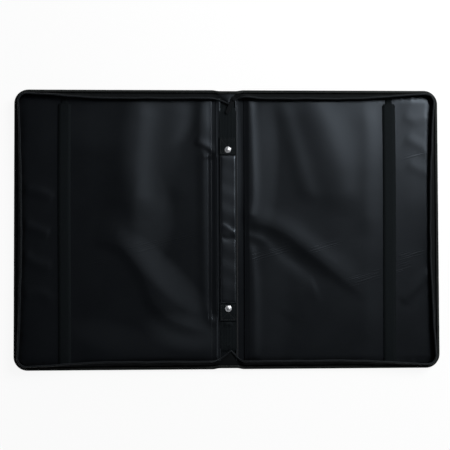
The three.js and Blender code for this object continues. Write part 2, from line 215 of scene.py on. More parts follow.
def tube(name, rings, side=1, flip=False, lengths=None):
    """A closed tube through rings of points, an array of (rows, columns, 3).

    Its UV map is the length along it, in millimetres, and the share of the way round."""
    rows, columns = rings.shape[:2]
    uvs = None
    if lengths is not None:
        round_share = np.broadcast_to(np.arange(columns) / columns, (rows, columns))
        along = np.broadcast_to(lengths[:, None], (rows, columns))
        uvs = np.stack([along, round_share], -1).reshape(-1, 2)
    faces = tube_faces(rows, columns, flip != (side < 0))
    return new_object(name, mirrored(rings, side).reshape(-1, 3), faces, uvs)


def slab(name, x, y, top, under, side=1):
    """A closed sheet over a grid of x and y, from the height under up to the height top."""
    x, y, top, under = np.broadcast_arrays(x, y, top, under)
    rows, columns = x.shape
    count = rows * columns
    i, j = grid(np.arange(rows - 1), np.arange(columns - 1))
    a = (i * columns + j).ravel()
    upper = np.stack([a, a + columns, a + columns + 1, a + 1], -1)
    lower = upper[:, ::-1] + count
    rim = np.concatenate([
        np.arange(columns - 1),
        np.arange(rows - 1) * columns + columns - 1,
        (rows - 1) * columns + np.arange(columns - 1, 0, -1),
        np.arange(rows - 1, 0, -1) * columns,
    ])
    after = np.roll(rim, -1)
    walls = np.stack([rim, after, after + count, rim + count], -1)
    quads = np.vstack([upper, lower, walls])
    if side < 0:
        quads = quads[:, ::-1]
    points = np.concatenate([np.stack([x, y, z], -1).reshape(-1, 3) for z in (top, under)])
    return new_object(name, mirrored(points, side), quads.tolist())


def stitches(name, points, headings, length, radius):
    """Thread stitches: a six-sided spindle at each point, along its heading, sunk by half."""
    along = np.array([-0.5, -0.36, 0.0, 0.36, 0.5]) * length
    girth = np.array([0.25, 0.85, 1.0, 0.85, 0.25]) * radius
    turn = np.arange(6) * np.pi / 3
    headings = unit(headings)
    across = unit(np.cross([0.0, 0.0, 1.0], headings))
    lift = np.cross(headings, across)
    ring = np.cos(turn)[:, None, None] * across + np.sin(turn)[:, None, None] * lift
    shape = (
        points[:, None, None, :]
        + along[None, :, None, None] * headings[:, None, None, :]
        + girth[None, :, None, None] * ring.transpose(1, 0, 2)[:, None, :, :]
    )
    one = tube_faces(len(along), len(turn), False)
    size = len(along) * len(turn)
    faces = [[corner + k * size for corner in face] for k in range(len(points)) for face in one]
    return new_object(name, shape.reshape(-1, 3), faces)


def joined(items):
    """One object out of several, under the first one's name."""
    bpy.ops.object.select_all(action="DESELECT")
    for item in items:
        item.select_set(True)
    bpy.context.view_layer.objects.active = items[0]
    bpy.ops.object.join()
    return items[0]


# Shader maths

def math_method(operation):
    """A method that adds a Math node over a value and what it is given."""
    def method(self, *others):
        return self.shader.math(operation, self, *others)
    return method


class Value:
    """A number that varies over a surface. Arithmetic on it adds Math nodes to its material."""

    def __init__(self, shader, socket):
        self.shader = shader
        self.socket = socket

    __add__ = __radd__ = math_method("ADD")
    __sub__ = math_method("SUBTRACT")
    __mul__ = math_method("MULTIPLY")
    __truediv__ = math_method("DIVIDE")
    __pow__ = math_method("POWER")
    abs = math_method("ABSOLUTE")
    sine = math_method("SINE")

    def clamp(self):
        return self.shader.math("ADD", self, 0.0, clamp=True)


class Shader:
    """One material's node tree, with a Principled surface."""

    def __init__(self, name, specular=0.5, tint=(1.0, 1.0, 1.0), metallic=0.0):
        self.material = bpy.data.materials.new(name)
        self.material.use_nodes = True
        self.tree = self.material.node_tree
        self.surface = self.tree.nodes["Principled BSDF"]
        self.surface.inputs["Specular IOR Level"].default_value = specular
        self.surface.inputs["Specular Tint"].default_value = (*tint, 1.0)
        self.surface.inputs["Metallic"].default_value = metallic

    def node(self, kind, settings=None, inputs=None, output=0):
        """Adds a node, applies its settings first, then its inputs, and gives one of its outputs."""
        made = self.tree.nodes.new("ShaderNode" + kind)
        for key, setting in (settings or {}).items():
            setattr(made, key, setting)
        for key, wanted in (inputs or {}).items():
            self.feed(made.inputs[key], wanted)
        return Value(self, made.outputs[output])

    def feed(self, socket, wanted):
        if isinstance(wanted, Value):
            self.tree.links.new(wanted.socket, socket)
        else:
            socket.default_value = wanted

    def math(self, operation, a, b=None, clamp=False):
        inputs = {0: a} if b is None else {0: a, 1: b}
        return self.node("Math", {"operation": operation, "use_clamp": clamp}, inputs)

    def parts(self, spot, count):
        """The first parts of a vector."""
        split = self.node("SeparateXYZ", inputs={0: spot}).socket.node
        return [Value(self, socket) for socket in split.outputs[:count]]

    def place(self):
        """The surface's own coordinates, in millimetres, as x, y and z."""
        spot = self.node("TexCoord", output="Object")
        scaled = self.node("VectorMath", {"operation": "SCALE"}, {0: spot, "Scale": 1.0 / MM})
        return self.parts(scaled, 3)

    def track(self):
        """The piece's UV map: the length along it, in millimetres, and the share round it."""
        return self.parts(self.node("UVMap", {"uv_map": "UVMap"}), 2)

    def noise(self, place, detail=4.0, roughness=0.6):
        """Noise with lumps about 1 wide, at a place given by two or three coordinates."""
        spot = self.node("CombineXYZ", inputs=dict(enumerate(place)))
        inputs = {"Vector": spot, "Scale": 1.0, "Detail": detail, "Roughness": roughness}
        return self.node("TexNoise", {}, inputs, output="Fac")

    def blend(self, share, a, b):
        """A colour part of the way from a to b."""
        inputs = {0: share, 6: as_colour(a), 7: as_colour(b)}
        return self.node("Mix", {"data_type": "RGBA"}, inputs, output=2)

    def band(self, value, low, high):
        """Rises smoothly from 0 at low to 1 at high."""
        settings = {"interpolation_type": "SMOOTHSTEP"}
        return self.node("MapRange", settings, {0: value, 1: low, 2: high, 3: 0.0, 4: 1.0})

    def bump(self, height, distance, strength=1.0):
        """Bump from a height of 0 to 1, distance in millimetres."""
        inputs = {"Height": height, "Distance": distance * MM, "Strength": strength}
        made = self.node("Bump", {}, inputs)
        self.feed(self.surface.inputs["Normal"], made)

    def paint(self, colour):
        self.feed(self.surface.inputs["Base Color"], colour)

    def tone(self, share, shade, dark):
        """Paints from a darker tone of a shade, dark times as bright, up to the shade itself."""
        self.paint(self.blend(share, scaled_shade(shade, dark), shade))

    def gloss(self, roughness):
        self.feed(self.surface.inputs["Roughness"], roughness)


def as_colour(shade):
    return shade if isinstance(shade, Value) else (*shade, 1.0)


def scaled_shade(shade, factor):
    return tuple(channel * factor for channel in shade)


# Crease bundles in the lining: middle x, middle y, half length and half width, in millimetres
CREASES = [
    (-250, -61, 95, 13),
    (-114, -22, 88, 13),
    (67, -40, 56, 12),
    (156, -30, 42, 9),
    (243, -76, 76, 12),
    (307, -40, 30, 10),
    (309, 121, 28, 7),
]
CREASE_SLOPE = 16.5

# Patches of painted sheen on the lining, painted lighter and made rougher: middle, half length and half
# width, turn and strength
PAINTED_SHEEN = [
    (-126, 140, 120, 46, 86, 1.0),
    (-84, 190, 50, 30, 80, 1.0),
    (-210, 172, 66, 44, 0, 0.35),
    (-124, 20, 64, 34, 92, 0.9),
    (-104, -74, 96, 24, -44, 1.0),
    (-70, -170, 64, 30, -12, 0.9),
    (-180, -180, 90, 26, -16, 0.35),
    (216, 165, 74, 66, 0, 0.35),
    (62, 110, 110, 22, 88, 0.7),
    (310, 120, 80, 36, 90, 0.2),
    (70, -130, 90, 34, 90, 0.3),
    (17, 100, 120, 6, 90, 0.8),
    (-38, 170, 50, 9, 90, 0.6),
    (0, 62, 72, 13, 90, 0.95),
    (0, -62, 62, 13, 90, 0.7),
]


def lining_material(colours):
    """Coated cloth: a dull dark coat with a fine weave below it, and bundles of thin crease lines."""
    shader = Shader("lining_coat", 0.6, (0.74, 0.86, 1.0))
    x, y, z = shader.place()
    along, across = turned(x, y, CREASE_SLOPE)
    bundles = 0.0
    for cx, cy, half_length, half_width in CREASES:
        u, v = turned(cx, cy, CREASE_SLOPE)
        here = shader.band((along - u).abs(), half_length, half_length * 0.45)
        bundles = bundles + here * shader.band((across - v).abs(), half_width, half_width * 0.3)
    painted_sheen = 0.0
    for cx, cy, half_length, half_width, turn, strength in PAINTED_SHEEN:
        (u, v), (cu, cv) = turned(x, y, turn), turned(cx, cy, turn)
        u, v = (u - cu) / half_length, (v - cv) / half_width
        painted_sheen = painted_sheen + shader.band(u * u + v * v, 1.5, 0.0) * strength
    painted_sheen = painted_sheen.clamp()
    drift = shader.noise((along / 60.0, across / 9.0), 2.0, 0.5)
    streak = shader.noise((along / 52.0, across / 2.2), 1.0, 0.5)
    lines = ((across * (TURN / 3.6)) + drift * 9.0).sine() * 0.5 + 0.5
    crease = (lines ** 1.5) * shader.band(streak, 0.36, 0.62) * bundles.clamp()
    cloud = shader.noise((x / 70.0, y / 70.0), 3.0, 0.55)
    grain = shader.noise((x / 0.9, y / 0.9, z / 0.9), 3.0, 0.6)
    base = shader.blend(cloud, colours.lining_dark, colours.lining_light)
    rows = shader.noise((x / 22.0, y / 1.3), 2.0, 0.6)
    # Where the sheen patches lie, the colour is painted lighter: a painted sheen. They also raise the
    # roughness.
    shader.paint(shader.blend(painted_sheen * 0.35, base, scaled_shade(colours.lining_light, 2.2)))
    shader.gloss(0.25 + cloud * 0.06 + painted_sheen * 0.14 + rows * 0.06 + grain * 0.03)
    shader.bump(crease * 0.26 + grain * 0.05 + rows * 0.08, 0.7, 0.8)
    return shader.material


def weave_material(name, shade, dark, pitch, depth, roughness):
    """Plain woven cloth: two sets of threads that pass over and under each other."""
    shader = Shader(name, 0.3)
    x, y, z = shader.place()
    warp = (x * (math.pi / pitch)).sine()
    weft = (y * (math.pi / pitch)).sine()
    over = (warp * weft) * 0.5 + 0.5
    cloud = shader.noise((x / 40.0, y / 40.0, z / 40.0))
    shader.tone(over * 0.7 + cloud * 0.3, shade, dark)
    shader.gloss(roughness + cloud * 0.1)
    shader.bump(over, depth, 0.7)
    return shader.material


def webbing_material(name, shade, dark, pitch):
    """Flat webbing: warp cords down its length, each crossed by fine slanting picks."""
    shader = Shader(name, 0.16, (0.72, 0.9, 1.0))
    x, y, z = shader.place()
    cords = (x * (TURN / pitch)).sine() * 0.5 + 0.5
    picks = ((y * (TURN / 1.5)) + (x * (math.pi / pitch)).sine() * 2.0).sine() * 0.5 + 0.5
    cloud = shader.noise((x / 5.0, y / 30.0, z / 5.0))
    shader.tone(cords * 0.5 + cloud * 0.5, shade, dark)
    shader.gloss(0.72 + picks * 0.12)
    shader.bump(cords * 0.6 + picks * 0.4, 0.35, 0.8)
    return shader.material


def ribbon_material(name, shade, dark, pitch, roughness, specular):
    """Ribbed tape that follows a path: ribs lie across it, counted along its UV map."""
    shader = Shader(name, specular, (0.8, 0.92, 1.0))
    along, share = shader.track()
    ribs = (along * (TURN / pitch)).sine() * 0.5 + 0.5
    wear = shader.noise((along / 14.0, share * 6.0))
    shader.tone(ribs * 0.35 + wear * 0.65, shade, dark)
    shader.gloss(roughness + wear * 0.12)
    shader.bump(ribs * 0.7 + wear * 0.3, 0.25, 0.8)
    return shader.material


def metal_material(name, shade, roughness, metallic, specular=0.5):
    """Plated or painted metal with faint handling marks."""
    shader = Shader(name, specular, (0.75, 0.9, 1.0), metallic)
    x, y, z = shader.place()
    marks = shader.noise((x / 2.0, y / 2.0, z / 2.0))
    fine = shader.noise((x / 0.3, y / 3.0, z / 0.3), 2.0, 0.5)
    shader.tone(marks, shade, 0.88)
    shader.gloss(roughness + marks * 0.08)
    shader.bump(fine, 0.02, 0.4)
    return shader.material


def thread_material(shade):
    """Sewing thread: a dull dark strand with a slanting twist."""
    shader = Shader("thread", 0.3)
    x, y, z = shader.place()
    twist = ((x + y + z) * (TURN / 0.7)).sine() * 0.5 + 0.5
    shader.tone(twist, shade, 0.6)
    shader.gloss(0.6 + twist * 0.1)
    return shader.material


def board_material(shade):
    """Grey board with a fibrous speckle. It is inside the covers."""
    shader = Shader("grey_board", 0.2)
    x, y, z = shader.place()
    fibres = shader.noise((x / 1.5, y / 1.5, z / 1.5), 5.0, 0.7)
    shader.tone(fibres, shade, 0.7)
    shader.gloss(0.85 + fibres * 0.1)
    return shader.material


MATERIALS = {}
COVERS = {-1: "left_cover", 1: "right_cover"}


def make_materials(colours):
    strap = scaled_shade(colours.webbing, 0.85)
    MATERIALS.update(
        lining=lining_material(colours),
        nylon=weave_material("woven_nylon", colours.nylon, 0.6, 0.9, 0.18, 0.62),
        webbing=webbing_material("ribbed_webbing", colours.webbing, 0.55, 2.2),
        strap=webbing_material("strap_webbing", strap, 0.5 / 0.85, 1.5),
        binding=ribbon_material("binding_tape", colours.binding, 0.6, 1.2, 0.68, 0.2),
        tape=ribbon_material("zip_tape_weave", colours.zip_tape, 0.6, 0.9, 0.78, 0.08),
        coil=ribbon_material("zip_coil_plastic", colours.coil, 0.7, 2.4, 0.56, 0.16),
        nickel=metal_material("bright_nickel", colours.nickel, 0.4, 1.0),
        enamel=metal_material("black_enamel", colours.enamel, 0.5, 0.0, 0.1),
        thread=thread_material(colours.thread),
        board=board_material(colours.board),
    )


def cross_hinge(item):
    """Bakes the transform of a piece that crosses the hinge between the spine and its cover."""
    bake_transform(item)


def dress(item, material, slot, *nodes):
    """Gives a piece its material and hides the solids that it stands for. The slot is not used."""
    item.data.materials.clear()
    item.data.materials.append(MATERIALS[material])
    if nodes:
        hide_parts(*nodes)


# The lining

def channel_depth(y, side):
    """How far the lining sinks into the hinge channel, from 0 to 1 along it."""
    if side < 0:
        return 0.25 + 0.75 * smooth((126 - y) / 14) * smooth((y + 152) / 16)
    return 0.5 + 0.5 * smooth((70 - y) / 70)


# Folds of each page: crest points, height, width on the crest's left and right, share that fades
FOLDS = {
    -1: [
        ([(41, 150), (41, 60), (40, -40), (38, -112), (30, -142), (18, -164)], 0.85, 7.5, 7.0, 0.1),
        ([(56, 144), (36, 136), (14, 120)], 1.1, 3.6, 9.0),
        ([(44, 118), (30, 120), (16, 112)], 0.4, 4.0, 4.0),
        ([(146, 230), (152, 150), (156, 90), (150, 10)], 3.4, 40, 26),
        ([(78, 222), (90, 130), (88, 40)], 1.2, 22, 22),
        ([(226, -14), (176, -28), (140, -74), (120, -122), (84, -152), (20, -168)], 2.7, 11, 30),
        ([(338, 66), (304, 60), (284, 50)], 1.3, 9, 9),
        ([(338, 10), (312, 0), (290, -8)], 1.4, 9, 9),
        ([(338, -36), (316, -54), (284, -62)], 1.4, 10, 10),
        ([(338, -108), (306, -104), (284, -118)], 1.1, 10, 10),
    ],
    1: [
        ([(35, 226), (38, 140), (40, 60), (33, 12)], 1.3, 9, 13, 0.1),
        ([(35, -16), (41, -90), (42, -150), (41, -226)], 1.4, 9, 12, 0.1),
        ([(-30, 18), (14, 16), (58, 9), (96, -8), (129, -34), (162, -60), (208, -96), (240, -118)],
         2.0, 22, 10, 0.34),
        ([(-10, -6), (12, -8), (36, -12), (60, -22), (86, -54)], 0.7, 7, 8, 0.4),
        ([(120, 232), (160, 160), (178, 100), (192, 16)], 1.7, 30, 34),
        ([(84, 226), (106, 150), (122, 90), (140, 40)], 0.9, 16, 15),
        ([(226, 218), (240, 140), (236, 60), (226, -20)], 0.6, 24, 20),
        ([(92, -150), (120, -110), (150, -96)], 0.5, 18, 18),
        ([(284, -124), (310, -98), (340, -66)], 0.9, 10, 8),
        ([(290, 190), (312, 180), (338, 190)], 0.3, 10, 9),
        ([(292, 152), (316, 140), (338, 124)], 0.35, 10, 9),
        ([(296, 110), (318, 98), (338, 90)], 0.3, 10, 9),
    ],
}

# Swells of each page: middle, height, half width and half length, and turn in degrees
MOUNDS = {
    -1: [((42, 184), 1.7, 14, 44, 0), ((104, -200), 1.6, 60, 30, 0)],
    1: [((110, -50), -1.5, 52, 15, -38), ((228, -150), 0.9, 44, 50, 0), ((348, 0), 2.2, 26, 90, 0)],
}


def page_folds(x, y, side):
    """The height that the page's folds and swells add, x counted out from the spine."""
    total = np.zeros_like(x)
    for row in FOLDS[side]:
        total += fold(x, y, *row)
    for row in MOUNDS[side]:
        total += mound(x, y, *row)
    return total


def lining_height(x, y, side):
    """The lining's upper face: a flat page with folds, a drop into the channel and a rise to the spine.

    The left page also sinks in a shallow groove beside its channel."""
    flat = BOARD_TOP + 1.4
    edges = smooth((LINING_X - x) / 14) * smooth((LINING_Y - np.abs(y)) / 14)
    strap = 0.5 + 0.5 * smooth((np.abs(x - STRAP_X) - 11) / 32)
    folds = page_folds(x, y, side) * (0.15 + 0.85 * edges) * strap
    pucker = ripple(x, 11 if side < 0 else 12) * np.exp(-((LINING_Y - np.abs(y)) / 7.0) ** 2) * 0.3
    pucker += ripple(y, 13 if side < 0 else 14) * np.exp(-((LINING_X - x) / 7.0) ** 2) * 0.3
    page = flat + 0.9 * strap * edges + folds + pucker * smooth((x - 20) / 15)
    step = 0.62 if side > 0 else 0.95
    rise = step * smooth((x - 26.4) / 1.2) + (1 - step) * smooth((x - 27.6) / 8.0)
    depth = channel_depth(y, side)
    if side < 0:
        page = page - 1.1 * (depth - 0.25) / 0.75 * smooth((33.2 - x) / 0.9) * (1.3 - 0.1 * (33.0 - x))
    floor = PANEL_TOP + 1.1 + (1 - depth) * (page - PANEL_TOP - 2.6)
    lip, start, width = (0.15, 15.4, 5.0) if side < 0 else (0.0, 13.5, 1.7)
    spine_edge = WEBBING_TOP - 0.7 + lip * smooth((x - LINING_START) / 3.0)
    channel = floor + (spine_edge - floor) * (1 - smooth((x - start) / width))
    if side < 0:
        channel = channel + 0.13 * np.clip(26.0 - x, 0.0, 8.0) * smooth((x - start) / width) * depth
    return channel + (page - channel) * rise


def rounded_columns(edge_x, edge_y, near, far_start, far_count, corner_count):
    """A page's columns out to its rounded corner, and the height that each of them reaches."""
    radius = CORNER - (HALF_WIDTH - edge_x)
    arc_x = edge_x - radius
    far = np.linspace(far_start, arc_x, far_count)
    corner = arc_x + radius * np.sin(np.linspace(0, np.pi / 2, corner_count)[1:])
    columns = np.concatenate([near, far, corner])
    bow = np.sqrt(np.maximum(radius**2 - np.maximum(columns - arc_x, 0) ** 2, 0))
    return columns, edge_y - radius + bow


def build_lining(side, name):
    """A cover's lining: a grid over the page whose columns crowd together in the hinge channel."""
    near = np.concatenate([
        np.arange(LINING_START, 26.0, 0.8),
        np.arange(26.2, BOARD_EDGE, 0.22),
        np.arange(28.5, 32.0, 0.7),
        np.arange(32.2, 33.6, 0.22),
        np.arange(34.0, 44.0, 0.8),
    ])
    columns, limit = rounded_columns(LINING_X, LINING_Y, near, 44.0, 160, 8)
    inner_limit = SPINE_END - 12.0
    limit = np.minimum(limit, inner_limit + (LINING_Y - inner_limit) * smooth((columns - 15) / 14))
    share = np.linspace(-1, 1, 220)
    x, y = columns[:, None] + 0 * share, limit[:, None] * share
    z = lining_height(x, y, side)
    item = slab(f"{name}_lining_sheet", x, y, z, z - SHEET_THICKNESS, side)
    dress(item, "lining", "lining", f"{name}_lining")
    cross_hinge(item)


# The rim: binding, zip tape and coil, on one path round a cover

def rim_path(step):
    """The case's edge from the middle of the spine, round a cover's three free sides and back.

    Gives points on the outline, unit vectors inward, and the length so far."""
    x = HALF_WIDTH - CORNER
    y = HALF_HEIGHT - CORNER
    straight = np.linspace(0, x, max(2, int(x / step)))
    side = np.linspace(y, -y, max(2, int(2 * y / step)))
    turn = np.linspace(np.pi / 2, 0, max(8, int(CORNER * np.pi / 2 / step)))[1:-1]
    cos, sin = np.cos(turn), np.sin(turn)
    runs = [
        (straight, HALF_HEIGHT, 0, -1),
        (x + CORNER * cos, y + CORNER * sin, -cos, -sin),
        (HALF_WIDTH, side, -1, 0),
        (x + CORNER * cos[::-1], -y - CORNER * sin[::-1], -cos[::-1], sin[::-1]),
        (straight[::-1], -HALF_HEIGHT, 0, 1),
    ]
    path = np.concatenate([np.stack(np.broadcast_arrays(*run), -1) for run in runs])
    points, inward = path[:, :2], path[:, 2:]
    length = np.concatenate([[0], np.cumsum(np.hypot(*np.diff(points, axis=0).T))])
    return points, inward, length


def coil_line(points, inward, side):
    """The coil's centre line: it leans in most at mid-side, and near the spine it dips into the V.

    The right cover's top run leans in less beside the spine, clear of the puller when it's closed."""
    x, y = points[:, 0], points[:, 1]
    on_side = smooth((x - (HALF_WIDTH - CORNER)) / CORNER)
    mid_side = np.cos(np.clip(y / HALF_HEIGHT, -1, 1) * np.pi / 2) ** 0.8
    mid_edge = smooth((HALF_WIDTH - x) / 150.0)
    lean = 7.0 + (1 - on_side) * 7.0 * mid_edge
    lean = lean + np.where(y > 0, 1.2, 0.0) * (1 - on_side) * mid_edge
    lean = lean + on_side * (6.6 if side < 0 else 8.8) * mid_side
    if side > 0:
        lean = lean - np.where(y > 0, 2.2, 0.0) * smooth((56 - x) / 24)
    along = np.where(on_side > 0.5, y, x)
    lean = lean + 0.30 * ripple(along, 21 + side, 5, 38.0)
    wall = 16.2
    height = 1.3 + np.sqrt(np.maximum(wall**2 - (lean - 5.9) ** 2, 1.0))
    height = np.minimum(height, RIM_TOP - COIL_RADIUS)
    line = np.stack([x + inward[:, 0] * lean, y + inward[:, 1] * lean, height], -1)
    leg = np.clip(x / V_HALF_WIDTH, 0, 1)
    end = np.sign(y)
    apex = np.where(end > 0, V_TOP_APEX, V_BOTTOM_APEX)
    v_y = end * (apex + (np.abs(line[:, 1]) - apex) * np.sin(np.pi / 2 * leg))
    line[:, 0] += side * np.where(end > 0, V_TOP_SHIFT, V_BOTTOM_SHIFT) * (1 - smooth(leg))
    v_z = V_BASE + COIL_RADIUS + (line[:, 2] - V_BASE - COIL_RADIUS) * smooth((x - 13.0) / 20.0)
    near = (x < 45.0) & (np.abs(y) > HALF_HEIGHT / 2)
    line[near, 1] = v_y[near]
    line[near, 2] = v_z[near]
    return line


def edge_line(points, inward, inset, height):
    """A line at an inset from the outline, drawn in and lifted where it crosses the spine."""
    share = smooth((26.0 - points[:, 0]) / 12.0)
    end = np.sign(points[:, 1])
    x = points[:, 0] + inward[:, 0] * inset
    y = points[:, 1] + inward[:, 1] * inset - end * share * (HALF_HEIGHT - SPINE_END)
    z = height + share * SPINE_LIFT
    return np.stack([x, y, z * np.ones_like(x)], -1)


def across_frames(line):
    """Unit vectors across a line, level and upward."""
    heading = unit(np.gradient(line, axis=0))
    across = unit(np.cross(heading, [0.0, 0.0, 1.0]))
    return across, np.cross(across, heading)


def build_binding(side, name, stitch):
    """The binding: a soft folded tape whose section is a rounded box, slightly uneven along it."""
    points, inward, length = rim_path(2.2)
    inset = np.array([0.5, 0.0, 0.1, 0.7, 2.0, 3.6, 4.7, 5.0, 5.0, 4.4, 2.4])
    height = np.array([0.15, 1.2, 3.6, 5.0, 5.6, 5.5, 4.9, 3.8, 0.8, 0.05, 0.0])
    swell = 1 + 0.05 * ripple(length, 31 + side, 6, 16.0)
    rings = np.stack([
        edge_line(points, inward, s + (swell - 1 if s > 0.6 else 0.0), h * (swell if h > 3 else 1.0))
        for s, h in zip(inset, height)
    ], axis=1)
    item = tube(f"{name}_binding_tape", rings, side, True, length)
    end = "top" if side < 0 else "bottom"
    dress(item, "binding", "binding", f"{name}_binding", f"spine_binding_{end}")
    cross_hinge(item)

    points, inward, length = rim_path(3.9)
    line = edge_line(points, inward, 4.1, 5.45)
    heading = np.gradient(line, axis=0)
    line, heading = mirrored(line, side), mirrored(heading, side)
    thread = stitches(f"{name}_binding_stitches", line, heading, stitch, 0.34)
    dress(thread, "thread", "binding")
    cross_hinge(thread)


def build_zip_wall(side, name):
    """The zip tape: a thin sheet from the binding's inner edge up to the coil, bellied a little."""
    points, inward, length = rim_path(2.0)
    foot = edge_line(points, inward, 5.4, 3.2)
    top = coil_line(points, inward, side)
    top[:, 2] -= COIL_RADIUS * 0.7
    share = np.linspace(0, 1, 9)[None, :, None]
    belly = np.sin(np.pi * share) * (0.8 + 0.35 * ripple(length, 41 + side, 6, 22.0))[:, None, None]
    out = np.concatenate([-inward, np.full((len(points), 1), 0.25)], axis=1)[:, None, :]
    outer = foot[:, None, :] * (1 - share) + top[:, None, :] * share + belly * out
    inner = outer - 0.45 * out
    rings = np.concatenate([outer, inner[:, ::-1]], axis=1)
    item = tube(f"{name}_zip_wall", rings, side, False, length)
    dress(item, "tape", "zip_tape", f"{name}_zip_tape")
    cross_hinge(item)


def build_coil(side, name, pitch):
    """The coil: a bead whose radius swells once for each turn of the moulded thread."""
    points, inward, length = rim_path(0.42)
    line = coil_line(points, inward, side)
    across, lift = across_frames(line)
    radius = COIL_RADIUS * (0.86 + 0.14 * np.abs(np.sin(np.pi * length / pitch)))
    turn = np.arange(8) * np.pi / 4
    ring = np.cos(turn)[None, :, None] * across[:, None, :]
    ring = ring + 0.9 * np.sin(turn)[None, :, None] * lift[:, None, :]
    rings = line[:, None, :] + radius[:, None, None] * ring
    item = tube(f"{name}_zip_teeth", rings, side, True, length)
    end = "top" if side < 0 else "bottom"
    dress(item, "coil", "zip_coil", f"{name}_zip_coil", f"zip_end_coil_{end}")
    cross_hinge(item)


def build_straps(side, name, half_width):
    """A flat strap over the page, with a narrower neck at its top end that goes into the seam."""
    low, shoulder, end = -LINING_Y + 0.8, 207.0, LINING_Y - 1.0

    def band(y0, y1, half, thick, count, chamfer):
        y = np.linspace(y0, y1, count)
        width = half - chamfer * smooth((y - y1 + 3.0) / 3.0)
        centre = STRAP_X + 0.7 * np.sin(y / 95.0 + 0.6)
        around = np.array([-1, -0.5, 0, 0.5, 1, 1, 0.5, 0, -0.5, -1])
        level = np.array([0.3, 0, 0, 0, 0.3, 0.7, 1, 1, 1, 0.7]) * thick
        x = centre[:, None] + width[:, None] * around[None, :]
        rows = y[:, None] + 0 * x
        bed = lining_height(x, rows, side).max(axis=1)
        return np.stack([x, rows, bed[:, None] + 0.15 + level], -1)

    main = tube(f"{name}_strap_band", band(low, shoulder, half_width, 1.0, 160, 2.2), side, True)
    neck = tube(f"{name}_strap_neck", band(shoulder - 4.0, end, 5.4, 0.9, 12, 0.0), side, True)
    item = joined([main, neck])
    dress(item, "strap", "webbing", f"{name}_strap")
    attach(item, COVERS[side])


# The outside cloth

def build_outer_cloth(side, name):
    """The woven outer cloth: flat under a cover, up over the spine's arch, seamed at its middle."""
    inset = HALF_WIDTH - PANEL_X - 1.5
    edge_x, edge_y = HALF_WIDTH - inset, HALF_HEIGHT - inset
    near = np.concatenate([[0.02, 6, 12, 13.9], np.linspace(14.2, 22.0, 16)])
    columns, limit = rounded_columns(edge_x, edge_y, near, 24.0, 60, 7)
    limit = np.minimum(limit, edge_y - (HALF_HEIGHT - SPINE_END) * smooth((26 - columns) / 12))
    share = np.linspace(-1, 1, 90)
    x, y = columns[:, None] + 0 * share, limit[:, None] * share
    arch = smooth((HINGE_X - 0.2 - x) / 3.8) * SPINE_LIFT
    item = slab(f"{name}_outer_cloth", x, y, arch + PANEL_TOP, arch, side)
    panels = [f"{name}_outer_panel"]
    if side < 0:
        panels.append("spine_outer_panel")
    dress(item, "nylon", "outer_fabric", *panels)
    cross_hinge(item)


# The spine

def build_webbing():
    """Ribbed webbing down the spine: cords raised as a row of round-topped ridges.

    Its two ends dip below the zip ends."""
    reach = box_mm("zip_end_tape_top")[1][1] - 0.6
    x, y = grid(np.linspace(-WEBBING_HALF, WEBBING_HALF, 79), np.linspace(-reach, reach, 210))
    cords = 0.28 * np.abs(np.cos(np.pi * x / 2.5)) ** 0.7
    soft = 0.25 * ripple(y, 51, 5, 40.0) * np.exp(-((np.abs(x) - WEBBING_HALF) / 4.0) ** 2)
    bow = fold(x, y, [(-9, -157), (0, -155.5), (9, -158)], 1.9, 2.2, 3.0, 0.3)
    bow += mound(x, y, (-2, -162), 0.5, 7, 9)
    bow += fold(x, y, [(-4, -190.5), (0, -190.8), (4, -190.5)], 0.9, 0.9, 0.9, 0.3)
    edge = smooth((WEBBING_HALF - np.abs(x)) / 0.9)
    past_board = np.abs(y) - box_mm("spine_board")[1][1]
    dip = 0.7 * smooth((past_board + 6.0) / 5.0) + 1.6 * smooth((past_board - 0.3) / 1.5)
    top = WEBBING_TOP - 0.3 + cords * edge + soft + bow - dip
    item = slab("spine_webbing_strip", x, y, top, np.minimum(top, WEBBING_TOP) - 0.7)
    dress(item, "webbing", "webbing", "spine_webbing")
    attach(item, "spine")


def build_pad():
    """The padded strip: crowned across, rounded at its sides, with one wide slanting wrinkle."""
    (_, _, base), (half, end, _) = box_mm("spine_pad")
    x, y = grid(half * np.sin(np.linspace(-np.pi / 2, np.pi / 2, 41)), np.linspace(-end, end, 190))
    across = np.sqrt(np.maximum(1 - (np.abs(x) / half) ** 12, 0))
    ends = np.sqrt(np.maximum(1 - (np.abs(y) / end) ** 60, 0))
    wave = fold(x, y, [(-14, 8), (-4, 4), (6, -4), (15, -8)], 0.8, 4.0, 6.0)
    wave += fold(x, y, [(-13, -12), (0, -16), (14, -14)], -0.9, 4.0, 5.0)
    wave += 0.35 * ripple(y + x * 0.4, 61, 5, 30.0)
    height = 0.25 + (2.5 + wave) * across * ends
    item = slab("spine_pad_cushion", x, y, base + height, base - 0.05)
    dress(item, "lining", "lining", "spine_pad")
    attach(item, "spine")


